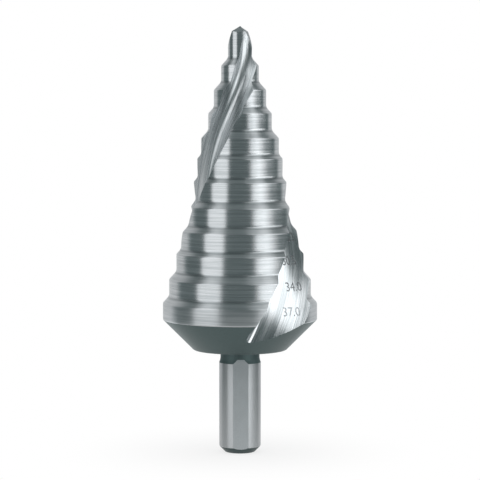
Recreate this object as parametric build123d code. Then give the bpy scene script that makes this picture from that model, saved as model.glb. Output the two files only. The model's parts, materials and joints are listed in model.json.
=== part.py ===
from build123d import *
from math import atan2, cos, hypot, radians, sin, tan
import os

# A spiral-fluted step drill, ground from one bar of high-speed steel.
# It stands on the end of its shank: the axis is Z, the point is at the top,
# and the origin is the centre of the shank's end face. Millimetres and degrees.

# ---------------------------------------------------------------- shank
SHANK_DIAMETER = 10.0
SHANK_LENGTH = 21.7          # from the end face to the sweep to the neck
END_CHAMFER = 1.5            # on the shank's end, across 45 degrees
END_CROWN = 0.06             # how far the chamfer bulges past a straight cone
FLAT_COUNT = 3               # chuck flats round the shank
FLAT_DISTANCE = 4.65         # from the axis to each flat
FLAT_LENGTH = 22.75          # from the end face, into the sweep to the neck
FLAT_AZIMUTH = 2.3           # of the first flat, from the front

# ---------------------------------------------------------------- neck and back
NECK_DIAMETER = 9.4
NECK_SWEEP_LENGTH = 1.15     # of the hollow curve from the shank down to the neck
NECK_LENGTH = 1.85           # its plain part, up to the back face
BACK_CONE_HEIGHT = 7.4       # 45 degree cone behind the widest step
BACK_EDGE_RADIUS = 0.8       # between that cone and the flat back face

# ---------------------------------------------------------------- steps
# From the point to the shank: (diameter, length of the cylindrical land).
STEPS = [
    (9.0, 3.85),
    (12.5, 4.10),
    (15.2, 4.00),
    (18.6, 3.85),
    (20.4, 4.45),
    (22.5, 4.35),
    (25.5, 4.25),
    (28.3, 4.20),
    (30.5, 4.15),
    (34.0, 4.00),
    (37.0, 3.95),
]
RAMP_ANGLE = 42.0            # between the axis and the ramp above each land
PILOT_DIAMETER = 5.7
PILOT_LENGTH = 7.55          # from the foot of the pilot to the chisel edge

# ---------------------------------------------------------------- point
POINT_ANGLE = 131.0          # between the two cutting lips
FLANK_TILT = 13.0            # how far each flank falls away behind its lip
GASH_AHEAD = 42.0            # direction in which each gash faces, ahead of its lip
GASH_SLOPE = 64.0            # of the gash's face against the horizontal
CHISEL_OFFSET = 0.12         # half the web left between the two gashes

# ---------------------------------------------------------------- flutes
FLUTE_COUNT = 2
LEAD = 174.0                 # rise for one turn, right-handed, along the steps
NOSE_LEAD = 94.0             # the same near the point, where the twist is faster
NOSE_LENGTH = 24.0           # from the chisel edge to where the lead changes
LEAD_BLEND = 6.0             # length over which it changes
BACK_AZIMUTH = 11.0          # of a cutting edge at the widest step's foot, from the front
RAKE_OFFSET = 0.25           # cutting face ahead of the axis: half the web at the point
BACK_DEPTH = 5.2             # of a flute, at the foot of the widest step
PILOT_DEPTH = 2.35           # of a flute, at the foot of the pilot
ROOT_RADIUS = 2.0            # between the cutting face and the flute's floor
SECTION_SPACING = 2.6        # between the sections that shape a flute
OVERRUN = 1.0                # how far a cutter reaches past what it cuts


def ramp_height(radius_change):
    """Height of the ramp that joins two radii."""
    return radius_change / tan(radians(RAMP_ANGLE))


def heights():
    """Heights of the main shoulders above the end face."""
    back = SHANK_LENGTH + NECK_SWEEP_LENGTH + NECK_LENGTH
    widest_foot = back + BACK_CONE_HEIGHT
    pilot_foot = widest_foot
    for (diameter, land), (above, _) in zip(STEPS[::-1], STEPS[-2::-1] + [(PILOT_DIAMETER, 0)]):
        pilot_foot += land + ramp_height((diameter - above) / 2)
    return back, widest_foot, pilot_foot, pilot_foot + PILOT_LENGTH


BACK_Z, WIDEST_Z, PILOT_Z, POINT_Z = heights()
WIDEST_RADIUS = STEPS[-1][0] / 2
PILOT_RADIUS = PILOT_DIAMETER / 2


def on_axis_plane(corner):
    """A corner of the turned outline, given as radius and height, as a point."""
    radius, height = corner
    return (radius, 0, height)


def crowned_chamfer(start, end):
    """A 45 degree chamfer that bulges outwards by the crown, from its inner to its outer corner."""
    bulge = END_CROWN * sin(radians(45))
    middle = ((start[0] + end[0]) / 2 + bulge, (start[1] + end[1]) / 2 - bulge)
    return ThreePointArc(*map(on_axis_plane, (start, middle, end)))


def neck_sweep(start, end):
    """The hollow arc from the shank's edge that runs out along the neck."""
    lean = atan2(start[0] - end[0], end[1] - start[1])
    hollow = hypot(start[0] - end[0], end[1] - start[1]) / 2 * tan(lean / 2)
    middle = (
        (start[0] + end[0]) / 2 - hollow * cos(lean),
        (start[1] + end[1]) / 2 - hollow * sin(lean),
    )
    return ThreePointArc(*map(on_axis_plane, (start, middle, end)))


def shank_outline():
    """The shank's edges in the axis plane, from the centre of its end up to the plain neck."""
    shank = SHANK_DIAMETER / 2
    neck = NECK_DIAMETER / 2
    end_edge = (shank - END_CHAMFER, 0)
    side_foot = (shank, END_CHAMFER)
    side_top = (shank, SHANK_LENGTH)
    neck_foot = (neck, SHANK_LENGTH + NECK_SWEEP_LENGTH)
    return [
        Line((0, 0, 0), on_axis_plane(end_edge)),
        crowned_chamfer(end_edge, side_foot),
        Line(on_axis_plane(side_foot), on_axis_plane(side_top)),
        neck_sweep(side_top, neck_foot),
    ]


def back_outline():
    """Radius and height of each corner, from the plain neck up to the widest step."""
    neck = NECK_DIAMETER / 2
    return [
        (neck, SHANK_LENGTH + NECK_SWEEP_LENGTH),
        (neck, BACK_Z),
        (WIDEST_RADIUS - BACK_CONE_HEIGHT, BACK_Z),
        (WIDEST_RADIUS, WIDEST_Z),
    ]


def steps_outline():
    """Radius and height of each corner, from the widest step up to the pilot."""
    corners = []
    height = WIDEST_Z
    smaller = [diameter for diameter, _ in STEPS[-2::-1]] + [PILOT_DIAMETER]
    for (diameter, land), above in zip(STEPS[::-1], smaller):
        height += land
        corners.append((diameter / 2, height))
        height += ramp_height((diameter - above) / 2)
        corners.append((above / 2, height))
    return corners


def turned_blank():
    """The drill before grinding of flutes, flats and point."""
    top = POINT_Z + OVERRUN
    corners = back_outline() + steps_outline() + [(PILOT_RADIUS, top), (0, top), (0, 0)]
    outline = shank_outline() + [Polyline(*map(on_axis_plane, corners))]
    blank = revolve(make_face(outline), Axis.Z)
    back_rim = WIDEST_RADIUS - BACK_CONE_HEIGHT
    rim = [
        edge
        for edge in blank.edges().filter_by(GeomType.CIRCLE)
        if abs(edge.radius - back_rim) < 0.01 and abs(edge.center().Z - BACK_Z) < 0.01
    ]
    return fillet(rim, BACK_EDGE_RADIUS)


def azimuth(height):
    """Direction of a cutting face, turning with the lead."""
    turn = BACK_AZIMUTH + 360 / LEAD * (height - WIDEST_Z)
    change = POINT_Z - NOSE_LENGTH
    past = min(max(height - change + LEAD_BLEND / 2, 0), LEAD_BLEND)
    blended = past**2 / (2 * LEAD_BLEND) + max(height - change - LEAD_BLEND / 2, 0)
    return turn + (360 / NOSE_LEAD - 360 / LEAD) * blended


def floor_distance(height):
    """Distance of a flute's floor from the axis: the core grows towards the shank."""
    at_pilot = PILOT_RADIUS - PILOT_DEPTH
    at_widest = WIDEST_RADIUS - BACK_DEPTH
    return at_pilot + (at_widest - at_pilot) * (PILOT_Z - height) / (PILOT_Z - WIDEST_Z)


def flute_section(height):
    """What a flute removes at one height: a right angle with a rounded root."""
    floor = floor_distance(height)
    root = ROOT_RADIUS
    reach = WIDEST_RADIUS + ROOT_RADIUS + OVERRUN
    rake = RAKE_OFFSET
    middle = root * (1 - cos(radians(45)))
    outline = [
        Line((reach, rake), (floor + root, rake)),
        ThreePointArc((floor + root, rake), (floor + middle, rake + middle), (floor, rake + root)),
        Line((floor, rake + root), (floor, reach)),
        Line((floor, reach), (reach, reach)),
        Line((reach, reach), (reach, rake)),
    ]
    turned = Location((0, 0, height), (0, 0, azimuth(height) - 90))
    return turned * make_face(outline)


def flute_cutter():
    """One flute: its sections joined from the back face to above the point."""
    bottom = BACK_Z + BACK_EDGE_RADIUS
    top = POINT_Z + OVERRUN
    count = round((top - bottom) / SECTION_SPACING)
    levels = [bottom + (top - bottom) * n / count for n in range(count + 1)]
    return loft([flute_section(level) for level in levels])


def flank_cutter():
    """All that lies above one flank of the point, behind its lip."""
    slope = 90 - POINT_ANGLE / 2
    size = 4 * PILOT_DIAMETER
    along = Vector(cos(radians(slope)), 0, -sin(radians(slope)))
    across = Vector(0, cos(radians(FLANK_TILT)), sin(radians(FLANK_TILT)))
    flank = Plane(origin=(0, 0, POINT_Z), x_dir=along, z_dir=along.cross(across))
    block = flank * Box(size, size, size, align=(Align.CENTER, Align.CENTER, Align.MIN))
    return Rotation(0, 0, azimuth(POINT_Z) - 90) * block


def gash_cutter():
    """What splits the point: it thins the web ahead of one lip, down to the chisel edge."""
    size = 4 * PILOT_DIAMETER
    face = Rotation(0, 0, GASH_AHEAD) * Rotation(0, GASH_SLOPE - 90, 0)
    above_face = face * Box(size, size, size, align=(Align.MIN, Align.CENTER, Align.CENTER))
    ahead_of_lip = Pos(0, CHISEL_OFFSET, 0) * Box(
        size, size, size, align=(Align.CENTER, Align.MIN, Align.CENTER)
    )
    return Pos(0, 0, POINT_Z) * Rotation(0, 0, azimuth(POINT_Z) - 90) * (above_face & ahead_of_lip)


def flats_cutter():
    """What is ground off the shank to make the chuck flats."""
    width = SHANK_DIAMETER
    depth = SHANK_DIAMETER
    block = Pos(FLAT_DISTANCE, 0, 0) * Box(
        depth, width, FLAT_LENGTH, align=(Align.MIN, Align.CENTER, Align.MIN)
    )
    return [
        Rotation(0, 0, FLAT_AZIMUTH - 90 + 360 / FLAT_COUNT * n) * block for n in range(FLAT_COUNT)
    ]


def step_drill():
    """The finished drill."""
    drill = turned_blank()
    flute = flute_cutter()
    for n in range(FLUTE_COUNT):
        drill -= Rotation(0, 0, 360 / FLUTE_COUNT * n) * flute
    flank = flank_cutter()
    gash = gash_cutter()
    for n in range(FLUTE_COUNT):
        drill -= Rotation(0, 0, 360 / FLUTE_COUNT * n) * flank
        drill -= Rotation(0, 0, 360 / FLUTE_COUNT * n) * gash
    for flat in flats_cutter():
        drill -= flat
    return drill


os.makedirs("parts", exist_ok=True)
drill = step_drill()
export_step(drill.solids()[0], "parts/step_drill.step")
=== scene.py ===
"""Step drill: the ground, fluted and marked surfaces of the tool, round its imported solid.

The drill stands on the end of its shank. The axis is Z, the point is at the top, and azimuths
turn from the front (-Y) towards +X. Lengths are in metres.
"""

import bmesh
import bpy
import json
import math
from mathutils import Matrix, Vector

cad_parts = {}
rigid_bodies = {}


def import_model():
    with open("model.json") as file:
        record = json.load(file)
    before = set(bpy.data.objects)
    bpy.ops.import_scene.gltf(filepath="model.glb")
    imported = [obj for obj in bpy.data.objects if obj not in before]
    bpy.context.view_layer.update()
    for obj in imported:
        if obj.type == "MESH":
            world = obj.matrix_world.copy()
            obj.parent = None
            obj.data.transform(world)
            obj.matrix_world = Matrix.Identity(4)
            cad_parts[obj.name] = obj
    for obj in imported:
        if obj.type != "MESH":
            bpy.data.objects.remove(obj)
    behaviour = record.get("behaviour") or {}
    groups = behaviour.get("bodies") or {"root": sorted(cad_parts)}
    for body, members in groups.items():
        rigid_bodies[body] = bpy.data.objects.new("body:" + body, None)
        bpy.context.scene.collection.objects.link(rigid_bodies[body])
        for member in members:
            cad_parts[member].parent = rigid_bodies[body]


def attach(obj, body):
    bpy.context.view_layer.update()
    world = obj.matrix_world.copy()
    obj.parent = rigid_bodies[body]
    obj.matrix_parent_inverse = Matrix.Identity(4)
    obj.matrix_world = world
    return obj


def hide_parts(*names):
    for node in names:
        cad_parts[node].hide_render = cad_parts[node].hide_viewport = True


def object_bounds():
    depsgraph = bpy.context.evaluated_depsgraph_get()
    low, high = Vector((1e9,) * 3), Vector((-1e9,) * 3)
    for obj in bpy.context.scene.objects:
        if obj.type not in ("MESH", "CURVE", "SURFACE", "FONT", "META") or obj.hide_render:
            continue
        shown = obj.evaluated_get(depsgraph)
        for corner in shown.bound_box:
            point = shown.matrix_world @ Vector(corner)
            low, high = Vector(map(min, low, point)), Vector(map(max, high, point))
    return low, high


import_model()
CAD_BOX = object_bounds()

bl_info = {
    "name": "Step drill",
    "version": (1, 0, 0),
    "blender": (4, 5, 0),
    "location": "View3D > Sidebar > Step drill",
    "description": "Models and finishes a spiral-fluted step drill",
    "category": "Object",
}

MM = 0.001
AXIS_TOP = CAD_BOX[1].z

STEP_COUNT = 11
MARK_COUNT = 9           # size marks, beside the widest steps
OVERRUN = MM             # how far blank and cutters reach past the point and the end face

# Face groups of the drill, in the order of its material slots.
LAND_FACES, FLUTE_FACES, BACK_FACES, SHANK_FACES = range(4)
POINT_FACES, WIDEST_FACES, RAMP_FACES, FLAT_FACES = range(4, 8)


# ------------------------------------------------------------------ sizes and colours


def length(name, description, default):
    """A length that a user can change."""
    return bpy.props.FloatProperty(
        name=name, description=description, default=default, subtype="DISTANCE", unit="LENGTH"
    )


def angle(name, description, degrees):
    """An angle that a user can change."""
    return bpy.props.FloatProperty(
        name=name,
        description=description,
        default=math.radians(degrees),
        subtype="ANGLE",
        unit="ROTATION",
    )


def count(name, description, default):
    """A number of like features."""
    return bpy.props.IntProperty(name=name, description=description, default=default, min=1)


def colour(name, description, default):
    """A linear colour."""
    return bpy.props.FloatVectorProperty(
        name=name, description=description, default=default, size=3, min=0, subtype="COLOR"
    )


class DrillSizes(bpy.types.PropertyGroup):
    """Sizes of the ground body."""

    shank_diameter: length("Shank diameter", "Round part of the shank", 10 * MM)
    shank_length: length("Shank length", "From the end face to the sweep to the neck", 21.7 * MM)
    end_chamfer: length("End chamfer", "On the shank's end, across 45 degrees", 1.5 * MM)
    flat_distance: length("Flat distance", "From the axis to each chuck flat", 4.65 * MM)
    flat_length: length("Flat length", "Of a chuck flat, from the end face", 22.75 * MM)
    flat_azimuth: angle("Flat azimuth", "Of the first chuck flat, from the front", 2.3)
    flat_count: count("Flats", "Chuck flats round the shank", 3)
    neck_diameter: length("Neck diameter", "Between the shank and the back face", 9.4 * MM)
    neck_sweep: length("Neck sweep", "Length of the curve from shank to neck", 1.15 * MM)
    neck_length: length("Neck length", "Plain part of the neck", 1.85 * MM)
    back_height: length("Back cone", "Height of the cone behind the widest step", 7.4 * MM)
    back_radius: length("Back edge radius", "Between that cone and the flat back face", 0.8 * MM)
    step_diameters: bpy.props.FloatVectorProperty(
        name="Step diameters",
        description="From the widest step to the narrowest",
        size=STEP_COUNT,
        unit="LENGTH",
        default=[d * MM for d in (37, 34, 30.5, 28.3, 25.5, 22.5, 20.4, 18.6, 15.2, 12.5, 9)],
    )
    land_lengths: bpy.props.FloatVectorProperty(
        name="Land lengths",
        description="Height of each step's cylindrical land, from the widest to the narrowest",
        size=STEP_COUNT,
        unit="LENGTH",
        default=[h * MM for h in (3.95, 4.0, 4.15, 4.2, 4.25, 4.35, 4.45, 3.85, 4.0, 4.1, 3.85)],
    )
    ramp_angle: angle("Ramp angle", "Between the axis and the ramp above each land", 42)
    pilot_diameter: length("Pilot diameter", "Of the plain part below the point", 5.7 * MM)
    edge_radius: length("Edge radius", "Wear on the upper edge of each land", 0.22 * MM)
    foot_radius: length("Foot radius", "Where a land meets the ramp below it", 0.55 * MM)
    point_angle: angle("Point angle", "Between the two cutting lips", 131)
    flank_tilt: angle("Flank tilt", "How far each flank falls away behind its lip", 13)
    gash_ahead: angle("Gash ahead", "Direction in which each gash faces, ahead of its lip", 42)
    gash_slope: angle("Gash slope", "Of the gash's face against the horizontal", 64)
    chisel_offset: length("Chisel offset", "Half the web left between the two gashes", 0.12 * MM)


class FluteSizes(bpy.types.PropertyGroup):
    """Sizes of the two flutes."""

    flute_count: count("Flutes", "Number of flutes", 2)
    lead: length("Lead", "Rise for one right-handed turn along the steps", 174 * MM)
    nose_lead: length("Nose lead", "The same near the point", 94 * MM)
    nose_length: length("Nose length", "From the point to where the lead changes", 24 * MM)
    lead_blend: length("Lead blend", "Length over which the lead changes", 6 * MM)
    back_azimuth: angle("Back azimuth", "Of a cutting edge at the foot of the widest step", 11)
    rake_offset: length("Rake offset", "Of the cutting face ahead of the axis", 0.25 * MM)
    back_depth: length("Back depth", "Of a flute at the foot of the widest step", 5.2 * MM)
    pilot_depth: length("Pilot depth", "Of a flute at the foot of the pilot", 2.35 * MM)
    root_radius: length("Root radius", "Between the cutting face and the flute's floor", 2.0 * MM)


class MarkSizes(bpy.types.PropertyGroup):
    """Sizes of the diameter marks."""

    digit_height: length("Digit height", "Height of the marked numbers", 2.3 * MM)
    digit_narrowing: bpy.props.FloatProperty(
        name="Digit narrowing",
        description="Width of the numbers as a share of the plain font's",
        default=0.78,
    )
    mark_rise: length("Mark rise", "Of a number's middle above the middle of its land", 0.6 * MM)
    mark_lift: length("Mark lift", "How far a mark stands off the steel", 0.02 * MM)
    mark_distances: bpy.props.FloatVectorProperty(
        name="Mark distances",
        description="From the cutting face to each number's middle, from the widest step up",
        size=MARK_COUNT,
        unit="LENGTH",
        default=[d * MM for d in (8.9, 8.2, 6.4, 7.0, 6.5, 5.9, 5.5, 5.2, 4.7)],
    )


class DrillColours(bpy.types.PropertyGroup):
    """Finishes of the steel, and of the room it is shown in."""

    ground_light: colour("Ground steel, ridges", "Bright lines of the steps", (0.70, 0.71, 0.72))
    ground_dark: colour("Ground steel, grooves", "Dark lines of the steps", (0.49, 0.51, 0.52))
    # Painted shade: a dark colour laid into the concave corner under each land, where shade falls.
    corner: colour("Corners", "Shaded steel where a land meets a ramp", (0.10, 0.125, 0.13))
    flute_light: colour("Flute, ridges", "Bright streaks along the flutes", (0.82, 0.83, 0.84))
    flute_dark: colour("Flute, grooves", "Dark streaks along the flutes", (0.40, 0.43, 0.44))
    hardened: colour("Hardened skin", "Back cone, neck and end chamfer", (0.085, 0.115, 0.115))
    satin: colour("Satin shank", "Round part of the shank", (0.53, 0.55, 0.56))
    flats: colour("Chuck flats", "Flats ground on the shank", (0.71, 0.75, 0.77))
    mark: colour("Laser mark", "Burnt skin of the size marks", (0.36, 0.37, 0.38))
    floor: colour("Floor", "Table top under the drill", (0.9, 0.9, 0.9))


# ------------------------------------------------------------------ shape of the drill


def turned_outline(sizes):
    """(radius, height, kind) of each ring, from the end face to above the point.

    The kind is "edge" for an outward corner of a step and "foot" for an inward one, "end" for the
    corners of the end chamfer, "back" for the rim of the back face, and "" elsewhere.
    """
    shank = sizes.shank_diameter / 2
    neck = sizes.neck_diameter / 2
    widest = sizes.step_diameters[0] / 2
    neck_foot = sizes.shank_length + sizes.neck_sweep
    sunk = 0.65          # share of the way down to the neck that half the sweep has gone
    back = neck_foot + sizes.neck_length
    outline = [
        (shank - sizes.end_chamfer, 0, "end"),
        (shank, sizes.end_chamfer, "end"),
        (shank, sizes.shank_length, ""),
        (shank * (1 - sunk) + neck * sunk, sizes.shank_length + sizes.neck_sweep / 2, ""),
        (neck, neck_foot, ""),
        (neck, back, ""),
        (widest - sizes.back_height, back, "back"),
        (widest, back + sizes.back_height, "edge"),
    ]
    height = back + sizes.back_height
    radii = [diameter / 2 for diameter in (*sizes.step_diameters, sizes.pilot_diameter)]
    for radius, above, land in zip(radii, radii[1:], sizes.land_lengths):
        height += land
        outline.append((radius, height, "edge"))
        height += (radius - above) / math.tan(sizes.ramp_angle)
        outline.append((above, height, "foot"))
    return outline


def shoulders(sizes):
    """Heights of the back face, the widest step's foot and the pilot's foot."""
    back = sizes.shank_length + sizes.neck_sweep + sizes.neck_length
    return back, back + sizes.back_height, turned_outline(sizes)[-1][1]


def flute_azimuth(flutes, sizes, height):
    """Direction of a cutting face at a height, turning with the lead."""
    widest_foot = shoulders(sizes)[1]
    turn = flutes.back_azimuth + math.tau / flutes.lead * (height - widest_foot)
    blend = flutes.lead_blend
    change = AXIS_TOP - flutes.nose_length
    past = min(max(height - change + blend / 2, 0), blend)
    blended = past**2 / (2 * blend) + max(height - change - blend / 2, 0)
    return turn + (math.tau / flutes.nose_lead - math.tau / flutes.lead) * blended


def floor_distance(flutes, sizes, height):
    """Distance of a flute's floor from the axis: the core grows towards the shank."""
    _, widest_foot, pilot_foot = shoulders(sizes)
    at_pilot = sizes.pilot_diameter / 2 - flutes.pilot_depth
    at_widest = sizes.step_diameters[0] / 2 - flutes.back_depth
    return at_pilot + (at_widest - at_pilot) * (pilot_foot - height) / (pilot_foot - widest_foot)


def floor_frame(flutes, sizes, height, distance):
    """A frame on a flute's floor: X along the baseline, Y up the flute, Z off the floor."""
    heading = flute_azimuth(flutes, sizes, height) - math.pi / 2
    turned = Matrix.Rotation(heading, 3, "Z")
    step = 0.1 * MM
    rise = floor_distance(flutes, sizes, height + step) - floor_distance(flutes, sizes, height)
    turn = flute_azimuth(flutes, sizes, height + step) - flute_azimuth(flutes, sizes, height)
    along = turned @ Vector((0, 1, 0))
    off = (turned @ Vector((1, 0, turn * distance / step - rise / step))).normalized()
    up = off.cross(along)
    origin = turned @ Vector((floor_distance(flutes, sizes, height), distance, height))
    return Matrix.Translation(origin) @ Matrix((along, up, off)).transposed().to_4x4()


# ------------------------------------------------------------------ modelling by hand


def deselect():
    """Nothing is selected, so that an operator acts only on what comes next."""
    for thing in bpy.context.view_layer.objects.selected[:]:
        thing.select_set(False)


def take(thing):
    """Makes one object the only selected and the active one."""
    deselect()
    thing.select_set(True)
    bpy.context.view_layer.objects.active = thing


def edit(thing, kind):
    """Opens an object for editing of its vertices, edges or faces, with nothing selected."""
    take(thing)
    bpy.ops.object.mode_set(mode="EDIT")
    bpy.ops.mesh.select_mode(type=kind)
    bpy.ops.mesh.select_all(action="DESELECT")


def done():
    """Closes the object that is open for editing."""
    bpy.ops.object.mode_set(mode="OBJECT")


def select_where(thing, kind, test):
    """Selects the open object's vertices, edges or faces that pass a test."""
    mesh = bmesh.from_edit_mesh(thing.data)
    mesh.normal_update()
    for part in {"VERT": mesh.verts, "EDGE": mesh.edges, "FACE": mesh.faces}[kind]:
        part.select_set(bool(test(part)))
    mesh.select_flush_mode()
    bmesh.update_edit_mesh(thing.data)


def on_ring(vertex, ring):
    """Whether a vertex lies on a ring of the turned outline."""
    radius, height, _ = ring
    near = 1e-6
    out = math.hypot(vertex.co.x, vertex.co.y)
    return abs(vertex.co.z - height) < near and abs(out - radius) < near


def round_rings(thing, outline, kind, offset, segments):
    """Bevels the rings of one kind, on a turned body that is open for editing."""
    micron_places = 3
    rings = {round(ring[1] / MM, micron_places): ring for ring in outline if ring[2] == kind}

    def on_one_ring(edge):
        first, second = edge.verts
        ring = rings.get(round(first.co.z / MM, micron_places))
        return ring is not None and on_ring(first, ring) and on_ring(second, ring)

    bpy.ops.mesh.select_mode(type="EDGE")
    select_where(thing, "EDGE", on_one_ring)
    bpy.ops.mesh.bevel(
        offset=offset, segments=segments, profile=0.5, affect="EDGES", clamp_overlap=False
    )


def turn_blank(sizes):
    """The body before grinding: a disc drawn up ring by ring along the outline."""
    facets = 384
    same_size = 1e-9
    outline = turned_outline(sizes)
    outline.append((sizes.pilot_diameter / 2, AXIS_TOP + OVERRUN, ""))
    start, *rest = outline
    deselect()
    bpy.ops.mesh.primitive_circle_add(vertices=facets, radius=start[0], fill_type="NGON")
    blank = bpy.context.object
    blank.name = "drill_body"
    edit(blank, "FACE")
    bpy.ops.mesh.select_all(action="SELECT")
    radius, height = start[:2]
    for next_radius, next_height, _ in rest:
        bpy.ops.mesh.extrude_region_move(
            TRANSFORM_OT_translate={"value": (0, 0, next_height - height)}
        )
        growth = next_radius / radius
        if abs(growth - 1) > same_size:
            bpy.ops.transform.resize(value=(growth, growth, 1), center_override=(0, 0, next_height))
        radius, height = next_radius, next_height
    round_rings(blank, outline, "edge", offset=sizes.edge_radius, segments=3)
    round_rings(blank, outline, "foot", offset=sizes.foot_radius, segments=4)
    round_rings(blank, outline, "end", offset=sizes.edge_radius, segments=3)
    round_rings(blank, outline, "back", offset=sizes.back_radius / 2, segments=5)
    bpy.ops.mesh.select_all(action="SELECT")
    bpy.ops.mesh.normals_make_consistent(inside=False)
    done()
    return blank


def name_turned_faces(blank, sizes):
    """Gives the faces of the turned body their slots, by their height and slope."""
    widest_foot = shoulders(sizes)[1]
    widest_top = widest_foot + sizes.land_lengths[0]
    ramp_rise = 0.35     # upward part of the normal, past which a rounded edge counts as ramp
    for face in blank.data.polygons:
        height = face.center.z
        if height > widest_top - sizes.edge_radius and face.normal.z > ramp_rise:
            face.material_index = RAMP_FACES
        elif height > widest_top:
            face.material_index = LAND_FACES
        elif height > widest_foot:
            face.material_index = WIDEST_FACES
        elif sizes.end_chamfer < height < sizes.shank_length:
            face.material_index = SHANK_FACES
        else:
            face.material_index = BACK_FACES


def turn_by(radians, height):
    """Turns what is selected about the drill's axis, anticlockwise seen from the point."""
    bpy.ops.transform.rotate(
        value=-radians, orient_axis="Z", orient_type="GLOBAL", center_override=(0, 0, height)
    )


def flute_cutter(flutes, sizes):
    """What one flute removes: a rounded corner drawn up the drill, turning with the lead."""
    bottom = shoulders(sizes)[0] + sizes.back_radius
    top = AXIS_TOP + OVERRUN
    levels = 150
    reach = sizes.step_diameters[0]
    side_cuts = 11
    root_facets = 10
    near = 1e-6
    deselect()
    bpy.ops.mesh.primitive_plane_add(size=reach, location=(reach / 2, reach / 2, 0))
    cutter = bpy.context.object
    cutter.name = "flute_cutter"
    bpy.ops.object.transform_apply(location=True, rotation=False, scale=False)
    edit(cutter, "VERT")
    select_where(cutter, "VERT", lambda vertex: vertex.co.length < near)
    bpy.ops.mesh.bevel(
        offset=flutes.root_radius,
        segments=root_facets,
        profile=0.5,
        affect="VERTICES",
        clamp_overlap=False,
    )

    def beside_root(edge):
        """Whether an edge is one of the two long ones that the rounded root joins."""
        first, second = (vertex.co for vertex in edge.verts)
        lies_on_axis = any(max(abs(first[n]), abs(second[n])) < near for n in (0, 1))
        return edge.calc_length() > reach / 2 and lies_on_axis

    bpy.ops.mesh.select_mode(type="EDGE")
    select_where(cutter, "EDGE", beside_root)
    bpy.ops.mesh.subdivide(number_cuts=side_cuts)
    bpy.ops.mesh.select_mode(type="FACE")
    bpy.ops.mesh.select_all(action="SELECT")

    def corner(height):
        """Where the cutting face and the floor would meet, before the section is turned."""
        return Vector((floor_distance(flutes, sizes, height), flutes.rake_offset, height))

    heading = flute_azimuth(flutes, sizes, bottom) - math.pi / 2
    bpy.ops.transform.translate(value=corner(bottom))
    turn_by(heading, bottom)
    height = bottom
    for level in range(1, levels + 1):
        above = bottom + (top - bottom) * level / levels
        next_heading = flute_azimuth(flutes, sizes, above) - math.pi / 2
        bpy.ops.mesh.extrude_region_move(TRANSFORM_OT_translate={"value": (0, 0, above - height)})
        shift = Matrix.Rotation(heading, 3, "Z") @ (corner(above) - corner(height))
        bpy.ops.transform.translate(value=(shift.x, shift.y, 0))
        turn_by(next_heading - heading, above)
        height, heading = above, next_heading
    bpy.ops.mesh.select_all(action="SELECT")
    bpy.ops.mesh.normals_make_consistent(inside=False)
    done()
    return cutter


def flat_cutter(sizes):
    """What is ground off for the first chuck flat."""
    side = sizes.shank_diameter
    deselect()
    bpy.ops.mesh.primitive_cube_add(
        size=1,
        location=(sizes.flat_distance + side / 2, 0, (sizes.flat_length - OVERRUN) / 2),
        scale=(side, side, sizes.flat_length + OVERRUN),
    )
    cutter = bpy.context.object
    cutter.name = "flat_cutter"
    bpy.ops.object.transform_apply(location=True, rotation=False, scale=True)
    edit(cutter, "FACE")
    bpy.ops.mesh.select_all(action="SELECT")
    turn_by(sizes.flat_azimuth - math.pi / 2, 0)
    done()
    return cutter


def turned_copy(thing, radians):
    """A copy of a cutter with its own mesh, turned about the axis."""
    take(thing)
    bpy.ops.object.duplicate(linked=False)
    copy = bpy.context.object
    edit(copy, "FACE")
    bpy.ops.mesh.select_all(action="SELECT")
    turn_by(radians, 0)
    done()
    return copy


def all_round(cutter, total):
    """A cutter and the copies that stand evenly round the axis with it."""
    return [cutter] + [turned_copy(cutter, math.tau / total * n) for n in range(1, total)]


def cut_away(body, cutter, slot):
    """Takes a cutter's volume out of the body, and gives the new faces a slot."""
    cutter.data.materials.clear()
    for material in body.data.materials:
        cutter.data.materials.append(material)
    for face in cutter.data.polygons:
        face.material_index = slot
    take(body)
    cut = body.modifiers.new("cut", "BOOLEAN")
    cut.operation = "DIFFERENCE"
    cut.solver = "MANIFOLD"
    cut.object = cutter
    bpy.ops.object.modifier_apply(modifier=cut.name)
    bpy.data.objects.remove(cutter)


def gash_cutter(flutes, sizes):
    """What thins the web ahead of the first lip: a block trimmed to the gash's two faces."""
    heading = flute_azimuth(flutes, sizes, AXIS_TOP) - math.pi / 2
    turned = Matrix.Rotation(heading, 3, "Z")
    ahead, slope = sizes.gash_ahead, sizes.gash_slope
    level = math.sin(slope)
    face = Vector((math.cos(ahead) * level, math.sin(ahead) * level, math.cos(slope)))
    wall = Vector((0, 1, 0))
    point = Vector((0, 0, AXIS_TOP))
    deselect()
    bpy.ops.mesh.primitive_cube_add(size=4 * sizes.pilot_diameter, location=point)
    cutter = bpy.context.object
    cutter.name = "gash_cutter"
    bpy.ops.object.transform_apply(location=True, rotation=False, scale=False)
    edit(cutter, "FACE")
    for start, normal in ((Vector(), face), (wall * sizes.chisel_offset, wall)):
        bpy.ops.mesh.select_all(action="SELECT")
        bpy.ops.mesh.bisect(
            plane_co=point + turned @ start,
            plane_no=turned @ normal,
            use_fill=True,
            clear_inner=True,
        )
    done()
    return cutter


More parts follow.
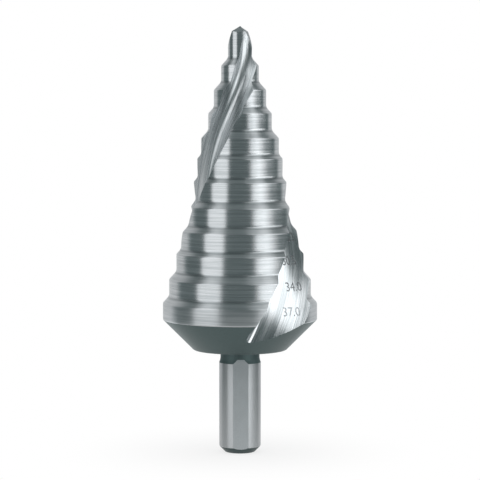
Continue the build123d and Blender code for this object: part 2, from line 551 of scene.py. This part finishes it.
def grind_point(body, flutes, sizes):
    """Cuts the flanks of the point, one for each flute, and gives their faces a slot."""
    same_way = 0.9999
    lip_fall = math.pi / 2 - sizes.point_angle / 2
    along = Vector((math.cos(lip_fall), 0, -math.sin(lip_fall)))
    across = Vector((0, math.cos(sizes.flank_tilt), math.sin(sizes.flank_tilt)))
    normal = along.cross(across)
    heading = flute_azimuth(flutes, sizes, AXIS_TOP) - math.pi / 2
    for flute in range(flutes.flute_count):
        turned = Matrix.Rotation(heading + math.tau / flutes.flute_count * flute, 3, "Z") @ normal
        edit(body, "FACE")
        bpy.ops.mesh.select_all(action="SELECT")
        bpy.ops.mesh.bisect(
            plane_co=(0, 0, AXIS_TOP),
            plane_no=turned,
            use_fill=True,
            clear_outer=True,
            threshold=1e-7,
        )
        done()
        for face in body.data.polygons:
            at_point = face.center.z > AXIS_TOP - sizes.pilot_diameter
            if at_point and face.normal.dot(turned) > same_way:
                face.material_index = POINT_FACES


def mark_number(text, frame_at, narrowing, height):
    """One number as a flat mesh, standing clear of the flute's floor in a frame on it."""
    digit_share = 0.7    # of the font's size that a digit is high
    clearance = 1.5 * MM
    deselect()
    bpy.ops.object.text_add()
    number = bpy.context.object
    number.data.body = text
    number.data.align_x = "CENTER"
    number.data.align_y = "CENTER"
    number.data.size = height / digit_share
    number.data.resolution_u = 4
    bpy.ops.object.convert(target="MESH")
    number = bpy.context.object
    number.data.transform(Matrix.Diagonal((narrowing, 1, 1, 1)))
    number.matrix_world = frame_at @ Matrix.Translation((0, 0, clearance))
    return number


def lay_on(number, body, lift):
    """Lays a number on the body, and makes it a thin slab that stands proud by the lift."""
    take(number)
    lay = number.modifiers.new("lay", "SHRINKWRAP")
    lay.target = body
    lay.wrap_method = "PROJECT"
    lay.use_project_z = True
    lay.use_positive_direction = False
    lay.use_negative_direction = True
    lay.offset = lift
    bpy.ops.object.modifier_apply(modifier=lay.name)
    bpy.ops.object.transform_apply(location=True, rotation=True, scale=True)
    slab = number.modifiers.new("slab", "SOLIDIFY")
    slab.thickness = 2 * lift
    slab.offset = -1
    bpy.ops.object.modifier_apply(modifier=slab.name)


def smooth(thing, degrees):
    """Shades a finished mesh smooth, apart from its sharp edges."""
    take(thing)
    bpy.ops.object.shade_smooth_by_angle(angle=math.radians(degrees))


def merge_doubles(thing):
    """Joins points that lie together, and removes slivers without area."""
    edit(thing, "VERT")
    bpy.ops.mesh.select_all(action="SELECT")
    bpy.ops.mesh.remove_doubles(threshold=1e-6)
    bpy.ops.mesh.select_all(action="SELECT")
    bpy.ops.mesh.dissolve_degenerate(threshold=1e-7)
    done()


# ------------------------------------------------------------------ shader maths


class Signal:
    """A socket of a node tree that can be used in sums like a number."""

    def __init__(self, tree, socket):
        self.tree = tree
        self.socket = socket

    def math(self, operation, *values):
        """A Math node on this signal and other values."""
        inputs = dict(enumerate((self, *values)))
        return self.tree.node("ShaderNodeMath", {"operation": operation}, inputs)

    def __add__(self, other):
        return self.math("ADD", other)

    __radd__ = __add__

    def __mul__(self, other):
        return self.math("MULTIPLY", other)

    __rmul__ = __mul__

    def __sub__(self, other):
        return self.math("SUBTRACT", other)

    def __rsub__(self, other):
        return (self * -1) + other

    def __truediv__(self, other):
        return self.math("DIVIDE", other)


class Tree:
    """The nodes of one material or world."""

    def __init__(self, owner):
        owner.use_nodes = True
        self.nodes = owner.node_tree.nodes
        self.links = owner.node_tree.links
        self.nodes.clear()

    def node(self, kind, settings=None, inputs=None, output=0):
        """A node of a type, with its settings first and then its values and links."""
        made = self.nodes.new(kind)
        for name, value in (settings or {}).items():
            setattr(made, name, value)
        for name, value in (inputs or {}).items():
            if isinstance(value, Signal):
                self.links.new(value.socket, made.inputs[name])
            else:
                made.inputs[name].default_value = value
        return Signal(self, made.outputs[output])

    def place(self):
        """The three object coordinates, in millimetres."""
        coordinates = self.node("ShaderNodeTexCoord", output=3)
        split = self.node("ShaderNodeSeparateXYZ", None, {0: coordinates})
        outputs = split.socket.node.outputs
        return [Signal(self, output) / MM for output in outputs]

    def noise(self, x, y, z, scales, detail=2.0, roughness=0.5):
        """Smooth noise about 0.5 at a place, with a scale for each of its coordinates."""
        scaled = {n: value * scale for n, (value, scale) in enumerate(zip((x, y, z), scales))}
        vector = self.node("ShaderNodeCombineXYZ", None, scaled)
        return self.node(
            "ShaderNodeTexNoise",
            {"noise_dimensions": "3D"},
            {"Vector": vector, "Scale": 1.0, "Detail": detail, "Roughness": roughness},
        )

    def blend(self, share, first, second):
        """A colour between two colours."""
        return self.node("ShaderNodeMix", {"data_type": "RGBA"}, {0: share, 6: first, 7: second}, 2)

    def clamp_step(self, signal, low, high):
        """0 at low and before it, 1 at high and past it, and smooth in between."""
        return self.node(
            "ShaderNodeMapRange",
            {"interpolation_type": "SMOOTHSTEP"},
            {"Value": signal, "From Min": low, "From Max": high},
        )

    def bump(self, height, depth):
        """Normals of a surface that a height from 0 to 1 raises by up to a depth in millimetres."""
        inputs = {"Strength": 1.0, "Distance": depth * MM, "Height": height}
        return self.node("ShaderNodeBump", None, inputs)

    def steel(self, base, roughness, normal=None, stretch=0.0, direction=0.0):
        """The metal shader and the output, with how far and which way its highlights stretch."""
        inputs = {"Base Color": base, "Roughness": roughness, "Metallic": 1.0}
        if normal is not None:
            inputs["Normal"] = normal
        inputs.update({"Anisotropic": stretch, "Anisotropic Rotation": direction})
        self.finish(self.node("ShaderNodeBsdfPrincipled", None, inputs))

    def finish(self, shader, kind="ShaderNodeOutputMaterial"):
        """Joins a shader to the output."""
        output = self.nodes.new(kind)
        self.links.new(shader.socket, output.inputs[0])


def opaque(rgb):
    """A colour as a socket wants it."""
    return (*rgb, 1.0)


def new_material(name):
    """An empty material and its nodes."""
    material = bpy.data.materials.new(name)
    return material, Tree(material)


# ------------------------------------------------------------------ finishes

# Noise scales are in cycles for each millimetre. A ground surface goes smoothly from groove to
# ridge between these two values of its noise, which swings about 0.5.
GROOVE, RIDGE = 0.34, 0.66

# Turn of the shader's tangent that stretches highlights along the drill's axis, and round it.
ALONG_AXIS, ROUND_AXIS = 0.25, 0.0


def painted_corner_shade(tree, z, sizes):
    """Where painted shade goes: 1 just below the corner where a land meets the ramp under it, and 0
    away from it.
    """
    below, reach = 0.2, 0.42       # in millimetres
    near = 0.0
    for _, height, kind in turned_outline(sizes):
        if kind == "foot":
            here = 1 - (z - (height / MM - below)).math("ABSOLUTE") / reach
            near = here.math("MAXIMUM", near)
    return near


def ground_steps(colours, sizes, name, roughness, stretch, line_depth):
    """Cylindrically ground steel: fine lines round the axis that stretch highlights along it, and
    painted shade just below each land's foot.
    """
    material, tree = new_material(name)
    x, y, z = tree.place()
    fine = tree.noise(x, y, z, scales=(0.08, 0.08, 5.0), detail=3.0, roughness=0.7)
    coarse = tree.noise(x, y, z, scales=(0.05, 0.05, 2.4), roughness=0.6)
    lines = fine * 0.5 + coarse * 0.5
    share = tree.clamp_step(lines, GROOVE, RIDGE)
    # Painted shade: the corner colour darkens the steel by up to this share just below each land's
    # foot.
    corner_shade_depth = 0.5
    steel_before_shade = tree.blend(share, opaque(colours.ground_dark), opaque(colours.ground_light))
    base = tree.blend(painted_corner_shade(tree, z, sizes) * corner_shade_depth, steel_before_shade, opaque(colours.corner))
    tree.steel(
        base,
        roughness=roughness + share * 0.06,
        normal=tree.bump(lines, depth=line_depth),
        stretch=stretch,
        direction=ALONG_AXIS,
    )
    return material


def untwisted(x, y, z, flutes, sizes):
    """A place seen from the turning flute: off its floor, along its baseline, and the height."""
    widest_foot, pilot_foot = (height / MM for height in shoulders(sizes)[1:])
    change = (AXIS_TOP - flutes.nose_length) / MM
    blend = flutes.lead_blend / MM
    per_mm = math.tau / (flutes.lead / MM)
    nose_per_mm = math.tau / (flutes.nose_lead / MM)
    past = (z - (change - blend / 2)).math("MAXIMUM", 0.0).math("MINIMUM", blend)
    beyond = (z - (change + blend / 2)).math("MAXIMUM", 0.0)
    faster = past * past / (2 * blend) + beyond
    turn = (z - widest_foot) * per_mm + faster * (nose_per_mm - per_mm)
    heading = turn + (flutes.back_azimuth - math.pi / 2)
    cosine = heading.math("COSINE")
    sine = heading.math("SINE")
    out = (x * cosine + y * sine).math("ABSOLUTE")
    across = y * cosine - x * sine
    at_pilot = (sizes.pilot_diameter / 2 - flutes.pilot_depth) / MM
    at_widest = (sizes.step_diameters[0] / 2 - flutes.back_depth) / MM
    growth = (at_widest - at_pilot) / (pilot_foot - widest_foot)
    return out - (pilot_foot - z) * growth - at_pilot, across, z


def ground_flute(colours, flutes, sizes):
    """Ground flute: streaks that follow the twist, rougher in its upper half."""
    material, tree = new_material("ground_flute")
    x, y, z = tree.place()
    depth, across, z = untwisted(x, y, z, flutes, sizes)
    fine = tree.noise(depth, across, z, scales=(3.2, 3.2, 0.07), detail=3.0, roughness=0.65)
    broad = tree.noise(depth, across, z, scales=(0.9, 0.9, 0.04), detail=1.0)
    lines = fine * 0.65 + broad * 0.35
    share = tree.clamp_step(lines, GROOVE, RIDGE)
    base = tree.blend(share, opaque(colours.flute_dark), opaque(colours.flute_light))
    middle = sum(shoulders(sizes)[1:]) / 2 / MM
    upper_half = tree.clamp_step(z, middle - 8, middle + 4)
    tree.steel(
        base,
        roughness=upper_half * 0.1 + share * 0.06 + 0.15,
        normal=tree.bump(lines, depth=0.026),
        stretch=0.6,
        direction=ROUND_AXIS,
    )
    return material


def hardened_skin(colours, sizes):
    """Dark skin left by hardening, with a fine grain: paler on the neck, where painted light lifts
    the shade under the back cone, and darkest on the end.
    """
    material, tree = new_material("hardened_skin")
    x, y, z = tree.place()
    grain = tree.noise(x, y, z, scales=(6.0, 6.0, 6.0), detail=3.0)
    share = tree.clamp_step(grain, 0.3, 0.7)
    chamfer_top = sizes.end_chamfer / MM
    neck_top = shoulders(sizes)[0] / MM
    on_end = tree.clamp_step(z, chamfer_top + 0.2, chamfer_top - 0.2)
    on_neck = tree.clamp_step(z, neck_top - 0.05, neck_top - 0.25) - on_end
    skin = Vector(colours.hardened)
    plain = tree.blend(share, opaque(skin * 0.85), opaque(skin * 1.15))
    # Painted light: the neck's colour is raised to make up for the shade that the back cone casts
    # on it.
    paler = tree.blend(on_neck, plain, opaque(skin * 1.8))
    base = tree.blend(on_end, paler, opaque(skin * 0.75))
    tree.steel(
        base,
        roughness=0.42 + share * 0.06 + on_neck * 0.14,
        normal=tree.bump(grain, depth=0.01),
    )
    return material


def satin_steel(name, tone):
    """Satin steel of the shank: a fine grain in faint clouds of its tone."""
    material, tree = new_material(name)
    x, y, z = tree.place()
    grain = tree.noise(x, y, z, scales=(5.0, 5.0, 5.0), detail=4.0, roughness=0.6)
    cloud = tree.noise(x, y, z, scales=(0.5, 0.5, 0.25), detail=1.0)
    share = tree.clamp_step(grain * 0.6 + cloud * 0.4, 0.35, 0.65)
    base = tree.blend(share, opaque(Vector(tone) * 0.94), opaque(Vector(tone) * 1.06))
    tree.steel(
        base,
        roughness=0.42 + share * 0.05,
        normal=tree.bump(grain, depth=0.006),
        stretch=0.97,
        direction=ALONG_AXIS,
    )
    return material


def ground_point(colours):
    """Finely ground flanks and gashes of the point."""
    material, tree = new_material("ground_point")
    x, y, z = tree.place()
    lines = tree.noise(x, y, z, scales=(7.0, 0.6, 0.6))
    share = tree.clamp_step(lines, 0.35, 0.65)
    base = tree.blend(share, opaque(colours.ground_dark), opaque(colours.ground_light))
    tree.steel(base, roughness=0.26 + share * 0.06, normal=tree.bump(lines, depth=0.005))
    return material


def laser_mark(colours, sizes):
    """Matt burnt skin of a marked number, with a fine grain and a painted highlight that lightens
    it beside the widest step.
    """
    material, tree = new_material("laser_mark")
    x, y, z = tree.place()
    grain = tree.noise(x, y, z, scales=(12.0, 12.0, 12.0))
    widest_top = (shoulders(sizes)[1] + sizes.land_lengths[0]) / MM
    # Painted highlight: the marks lighten towards the widest step, mixed with a fine grain of their
    # own.
    painted_highlight_and_grain = tree.clamp_step(z, widest_top + 6.0, widest_top) * 0.8 + grain * 0.2
    skin = Vector(colours.mark)
    base = tree.blend(painted_highlight_and_grain, opaque(skin * 0.4), opaque(skin * 1.5))
    tree.steel(base, roughness=0.42 + grain * 0.1)
    return material


# ------------------------------------------------------------------ operators


class DRILL_OT_grind_body(bpy.types.Operator):
    """Turns the blank, grinds its flutes, point and chuck flats, and finishes the steel"""

    bl_idname = "drill.grind_body"
    bl_label = "Grind body"

    def execute(self, context):
        scene = context.scene
        sizes, flutes, colours = scene.drill_sizes, scene.drill_flutes, scene.drill_colours
        body = turn_blank(sizes)
        finishes = {
            LAND_FACES: ground_steps(
                colours, sizes, "ground_lands", roughness=0.21, stretch=0.78, line_depth=0.016
            ),
            RAMP_FACES: ground_steps(
                colours, sizes, "ground_ramps", roughness=0.28, stretch=0.85, line_depth=0.012
            ),
            WIDEST_FACES: ground_steps(
                colours, sizes, "turned_widest_step", roughness=0.32, stretch=0.9, line_depth=0.02
            ),
            FLUTE_FACES: ground_flute(colours, flutes, sizes),
            BACK_FACES: hardened_skin(colours, sizes),
            SHANK_FACES: satin_steel("satin_shank", colours.satin),
            FLAT_FACES: satin_steel("satin_flats", colours.flats),
            POINT_FACES: ground_point(colours),
        }
        for slot in sorted(finishes):
            body.data.materials.append(finishes[slot])
        name_turned_faces(body, sizes)
        for cutter in all_round(flute_cutter(flutes, sizes), flutes.flute_count):
            cut_away(body, cutter, FLUTE_FACES)
        for cutter in all_round(flat_cutter(sizes), sizes.flat_count):
            cut_away(body, cutter, FLAT_FACES)
        grind_point(body, flutes, sizes)
        for cutter in all_round(gash_cutter(flutes, sizes), flutes.flute_count):
            cut_away(body, cutter, POINT_FACES)
        merge_doubles(body)
        smooth(body, degrees=18)
        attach(body, "root")
        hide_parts("step_drill")
        return {"FINISHED"}


class DRILL_OT_mark_sizes(bpy.types.Operator):
    """Marks the diameters of the wider steps beside them, on the floor of one flute"""

    bl_idname = "drill.mark_sizes"
    bl_label = "Mark sizes"

    def execute(self, context):
        scene = context.scene
        sizes, flutes, marks = scene.drill_sizes, scene.drill_flutes, scene.drill_marks
        body = bpy.data.objects["drill_body"]
        height = shoulders(sizes)[1]
        numbers = []
        for place, distance in enumerate(marks.mark_distances):
            diameter, land = sizes.step_diameters[place], sizes.land_lengths[place]
            middle = height + land / 2 + marks.mark_rise
            stand = floor_frame(flutes, sizes, middle, distance)
            text = f"{diameter / MM:.1f}"
            number = mark_number(text, stand, marks.digit_narrowing, marks.digit_height)
            lay_on(number, body, marks.mark_lift)
            numbers.append(number)
            above = sizes.step_diameters[place + 1]
            height += land + (diameter - above) / 2 / math.tan(sizes.ramp_angle)
        take(numbers[0])
        for number in numbers:
            number.select_set(True)
        bpy.ops.object.join()
        joined = bpy.context.object
        joined.name = "size_marks"
        bpy.ops.object.transform_apply(location=True, rotation=True, scale=True)
        joined.data.materials.append(laser_mark(scene.drill_colours, sizes))
        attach(joined, "root")
        return {"FINISHED"}


class DRILL_OT_set_stage(bpy.types.Operator):
    """Places the table top, the studio's walls, the world's light and the camera"""

    bl_idname = "drill.set_stage"
    bl_label = "Set stage"

    def execute(self, context):
        lay_floor(context.scene.drill_colours)
        hang_walls()
        light_world()
        place_camera()
        context.scene.view_settings.view_transform = "Standard"
        return {"FINISHED"}


class DRILL_PT_tools(bpy.types.Panel):
    """Lists the drill's operators, sizes and colours"""

    bl_label = "Step drill"
    bl_idname = "DRILL_PT_tools"
    bl_space_type = "VIEW_3D"
    bl_region_type = "UI"
    bl_category = "Step drill"

    def draw(self, context):
        layout = self.layout
        for operator in OPERATORS:
            layout.operator(operator.bl_idname)
        for group in (
            context.scene.drill_sizes,
            context.scene.drill_flutes,
            context.scene.drill_marks,
            context.scene.drill_colours,
        ):
            for name in group.__annotations__:
                layout.prop(group, name)


# ------------------------------------------------------------------ stage


def sees_background(tree):
    """1 for rays that see the white background: from the camera, off metal and through glass."""
    outputs = tree.node("ShaderNodeLightPath").socket.node.outputs
    kinds = ("Is Camera Ray", "Is Glossy Ray", "Is Transmission Ray")
    camera, glossy, through = (Signal(tree, outputs[kind]) for kind in kinds)
    return camera.math("MAXIMUM", glossy).math("MAXIMUM", through)


def lay_floor(colours):
    """A round pale table top, white away from the drill and shaded by it close by."""
    radius = 55 * MM
    shaded_to, white_from = 3.0, 46.0      # in millimetres from the axis
    least_white = 0.75
    deselect()
    bpy.ops.mesh.primitive_circle_add(vertices=128, radius=radius, fill_type="NGON")
    floor = bpy.context.object
    floor.name = "table_top"
    material, tree = new_material("pale_table")
    diffuse = tree.node("ShaderNodeBsdfDiffuse", None, {"Color": opaque(colours.floor)})
    glow = tree.node("ShaderNodeEmission", None, {"Color": (1, 1, 1, 1), "Strength": 1.0})
    x, y, z = tree.place()
    out = (x * x + y * y).math("SQRT")
    white = tree.clamp_step(out, shaded_to, white_from) * (1 - least_white) + least_white
    inputs = {0: sees_background(tree) * white, 1: diffuse, 2: glow}
    tree.finish(tree.node("ShaderNodeMixShader", None, inputs))
    floor.data.materials.append(material)


def studio_light(tree, azimuth, elevation):
    """Strength of the studio's light in a direction, which is given in degrees.

    Azimuth turns from the front towards +X, and elevation rises from the drill's foot.
    """

    def band(signal, low, high, soft):
        """1 between low and high and 0 outside, with soft edges."""
        above = tree.clamp_step(signal, low - soft, low + soft)
        below = 1 - tree.clamp_step(signal, high - soft, high + soft)
        return above * below

    bottom, edge = -14.0, 4.0      # of the soft boxes: their foot, and how soft their edges are

    # The room itself: dim, a little lighter overhead, and lit from the table below.
    over_table = tree.clamp_step(elevation, 6.0, 14.0)
    ceiling = tree.clamp_step(elevation, 55.0, 72.0) * 0.13
    table = tree.clamp_step(elevation, -18.0, -32.0) * 0.35
    room = 0.19 - over_table * 0.04

    # The wall behind the drill, on both sides of the camera's view and brighter low down.
    behind_left = tree.clamp_step(azimuth, -108.0, -130.0)
    behind_right = tree.clamp_step(azimuth, 116.0, 134.0)
    behind = (behind_left + behind_right) * tree.clamp_step(elevation, 60.0, 36.0)
    back_wall = behind * (tree.clamp_step(elevation, -8.0, -20.0) * 0.6 + 0.47)

    # The left soft box: tall, and leaning towards the back as it rises.
    leaning = azimuth + tree.clamp_step(elevation, 20.0, 65.0) * 14
    left_box = band(elevation, bottom, 62.0, edge) * band(leaning, -73.0, -31.0, edge)
    left_light = left_box * (over_table * 0.25 + 0.89)

    # The right soft boxes: a low one, a high one that leans to the front, and a small top one.
    rise = elevation - 15
    right_low = tree.clamp_step(azimuth, 21.0, 38.0) * tree.clamp_step(azimuth, 86.0, 48.0)
    low_light = band(elevation, bottom, 12.0, edge) * right_low * 1.55
    high_top = 56 - (azimuth - 44).math("MAXIMUM", 0.0) * 0.55
    right_high = band(azimuth, 51 - rise * 0.86, 110 - rise * 1.6, 5.0)
    high_light = band(elevation, 15.0, high_top, edge) * right_high * 1.7
    top_light = band(azimuth, 56.0, 92.0, 8.0) * band(elevation, 46.0, 64.0, 5.0) * 1.1

    boxes = left_light + low_light + high_light + top_light
    return room + back_wall + boxes + ceiling + table


def hang_walls():
    """The studio round the drill: a dim room with soft boxes, which only metal sees."""
    radius = 1.4
    to_degrees = 180 / math.pi
    dim_tint, bright_tint = (0.79, 0.985, 1.0), (0.955, 0.985, 1.0)
    deselect()
    bpy.ops.mesh.primitive_uv_sphere_add(segments=64, ring_count=32, radius=radius)
    walls = bpy.context.object
    walls.name = "studio_walls"
    edit(walls, "FACE")
    bpy.ops.mesh.select_all(action="SELECT")
    bpy.ops.mesh.flip_normals()
    done()
    material, tree = new_material("studio_walls")
    x, y, z = tree.place()
    azimuth = x.math("ARCTAN2", y * -1) * to_degrees
    elevation = z.math("ARCTAN2", (x * x + y * y).math("SQRT")) * to_degrees
    level = studio_light(tree, azimuth, elevation)
    shade = tree.blend(tree.clamp_step(level, 0.1, 0.6), opaque(dim_tint), opaque(bright_tint))
    tree.finish(tree.node("ShaderNodeEmission", None, {"Color": shade, "Strength": level}))
    walls.data.materials.append(material)
    walls.visible_camera = False
    walls.visible_diffuse = False
    walls.visible_shadow = False
    walls.visible_transmission = False


def light_world():
    """Soft plain light from all round for what is matt, and a white background."""
    world = bpy.data.worlds.new("studio")
    bpy.context.scene.world = world
    tree = Tree(world)
    plain = tree.blend(sees_background(tree), (0.95, 0.95, 0.95, 1), (1, 1, 1, 1))
    background = tree.node("ShaderNodeBackground", None, {"Color": plain, "Strength": 1.0})
    tree.finish(background, "ShaderNodeOutputWorld")


def place_camera():
    """A long lens half a metre in front, at the height of the upper steps and tipped down."""
    distance = 500 * MM
    eye_height = 83 * MM
    pitch = math.radians(86.351)
    sensor_width, lens = 36, 156.66
    deselect()
    bpy.ops.object.camera_add(location=(0, -distance, eye_height), rotation=(pitch, 0, 0))
    camera = bpy.context.object
    camera.name = "camera"
    camera.data.sensor_width = sensor_width
    camera.data.lens = lens
    bpy.context.scene.camera = camera


# ------------------------------------------------------------------ registration and run

GROUPS = {
    "drill_sizes": DrillSizes,
    "drill_flutes": FluteSizes,
    "drill_marks": MarkSizes,
    "drill_colours": DrillColours,
}
OPERATORS = [DRILL_OT_grind_body, DRILL_OT_mark_sizes, DRILL_OT_set_stage]


def register():
    """Makes the drill's properties, operators and panel known to Blender."""
    for name, group in GROUPS.items():
        bpy.utils.register_class(group)
        setattr(bpy.types.Scene, name, bpy.props.PointerProperty(type=group))
    for operator in OPERATORS:
        bpy.utils.register_class(operator)
    bpy.utils.register_class(DRILL_PT_tools)


def unregister():
    """Takes them away again, in the reverse order."""
    bpy.utils.unregister_class(DRILL_PT_tools)
    for operator in reversed(OPERATORS):
        bpy.utils.unregister_class(operator)
    for name, group in GROUPS.items():
        delattr(bpy.types.Scene, name)
        bpy.utils.unregister_class(group)


def main():
    """Makes the pieces in order."""
    register()
    bpy.ops.drill.grind_body()
    bpy.ops.drill.mark_sizes()
    bpy.ops.drill.set_stage()


if __name__ == "__main__":
    main()
